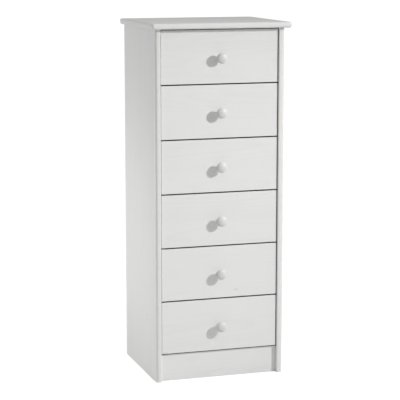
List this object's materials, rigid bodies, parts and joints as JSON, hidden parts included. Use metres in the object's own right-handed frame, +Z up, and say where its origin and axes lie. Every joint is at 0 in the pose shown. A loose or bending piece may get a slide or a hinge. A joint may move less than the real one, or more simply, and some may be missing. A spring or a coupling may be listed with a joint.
{
  "type": "tall chest of drawers",
  "caption": "Tall narrow chest of stacked drawers in white-stained pine, with an overhanging top, rounded front edges, a recessed plinth and one turned wooden knob on each drawer.",
  "frame": {"origin": "on the floor, under the middle of the top", "axes": "+X to the right across the front, +Y from the front to the back, +Z up; the drawers open towards -Y"},
  "size_m": [0.48, 0.41, 1.19],
  "materials": {
    "white_pine": "satin white stain and lacquer, with the grain showing faintly",
    "raw_pine": "planed, unfinished",
    "beech": "planed, unfinished",
    "hardboard": "smooth pressed board",
    "zinc_steel": "bright zinc plate"
  },
  "bodies": {
    "carcass": {"top_panel": "white_pine", "left_side_panel": "white_pine", "right_side_panel": "white_pine", "back_panel": "hardboard", "plinth_board": "white_pine", "front_top_rail": "white_pine", "runner_left_1": "beech", "runner_right_1": "beech", "runner_left_2": "beech", "runner_right_2": "beech", "runner_left_3": "beech", "runner_right_3": "beech", "runner_left_4": "beech", "runner_right_4": "beech", "runner_left_5": "beech", "runner_right_5": "beech", "runner_left_6": "beech", "runner_right_6": "beech"},
    "drawer_1": {"drawer_1_front": "white_pine", "drawer_1_left_side": "raw_pine", "drawer_1_right_side": "raw_pine", "drawer_1_back": "raw_pine", "drawer_1_bottom": "hardboard", "knob_1": "white_pine", "knob_screw_1": "zinc_steel"},
    "drawer_2": {"drawer_2_front": "white_pine", "drawer_2_left_side": "raw_pine", "drawer_2_right_side": "raw_pine", "drawer_2_back": "raw_pine", "drawer_2_bottom": "hardboard", "knob_2": "white_pine", "knob_screw_2": "zinc_steel"},
    "drawer_3": {"drawer_3_front": "white_pine", "drawer_3_left_side": "raw_pine", "drawer_3_right_side": "raw_pine", "drawer_3_back": "raw_pine", "drawer_3_bottom": "hardboard", "knob_3": "white_pine", "knob_screw_3": "zinc_steel"},
    "drawer_4": {"drawer_4_front": "white_pine", "drawer_4_left_side": "raw_pine", "drawer_4_right_side": "raw_pine", "drawer_4_back": "raw_pine", "drawer_4_bottom": "hardboard", "knob_4": "white_pine", "knob_screw_4": "zinc_steel"},
    "drawer_5": {"drawer_5_front": "white_pine", "drawer_5_left_side": "raw_pine", "drawer_5_right_side": "raw_pine", "drawer_5_back": "raw_pine", "drawer_5_bottom": "hardboard", "knob_5": "white_pine", "knob_screw_5": "zinc_steel"},
    "drawer_6": {"drawer_6_front": "white_pine", "drawer_6_left_side": "raw_pine", "drawer_6_right_side": "raw_pine", "drawer_6_back": "raw_pine", "drawer_6_bottom": "hardboard", "knob_6": "white_pine", "knob_screw_6": "zinc_steel"}
  },
  "joints": [
    {"name": "drawer_1_pull", "type": "slide", "parent": "carcass", "child": "drawer_1", "axis": [0, -1, 0], "range_m": [0, 0.28]},
    {"name": "drawer_2_pull", "type": "slide", "parent": "carcass", "child": "drawer_2", "axis": [0, -1, 0], "range_m": [0, 0.28]},
    {"name": "drawer_3_pull", "type": "slide", "parent": "carcass", "child": "drawer_3", "axis": [0, -1, 0], "range_m": [0, 0.28]},
    {"name": "drawer_4_pull", "type": "slide", "parent": "carcass", "child": "drawer_4", "axis": [0, -1, 0], "range_m": [0, 0.28]},
    {"name": "drawer_5_pull", "type": "slide", "parent": "carcass", "child": "drawer_5", "axis": [0, -1, 0], "range_m": [0, 0.28]},
    {"name": "drawer_6_pull", "type": "slide", "parent": "carcass", "child": "drawer_6", "axis": [0, -1, 0], "range_m": [0, 0.28]}
  ]
}
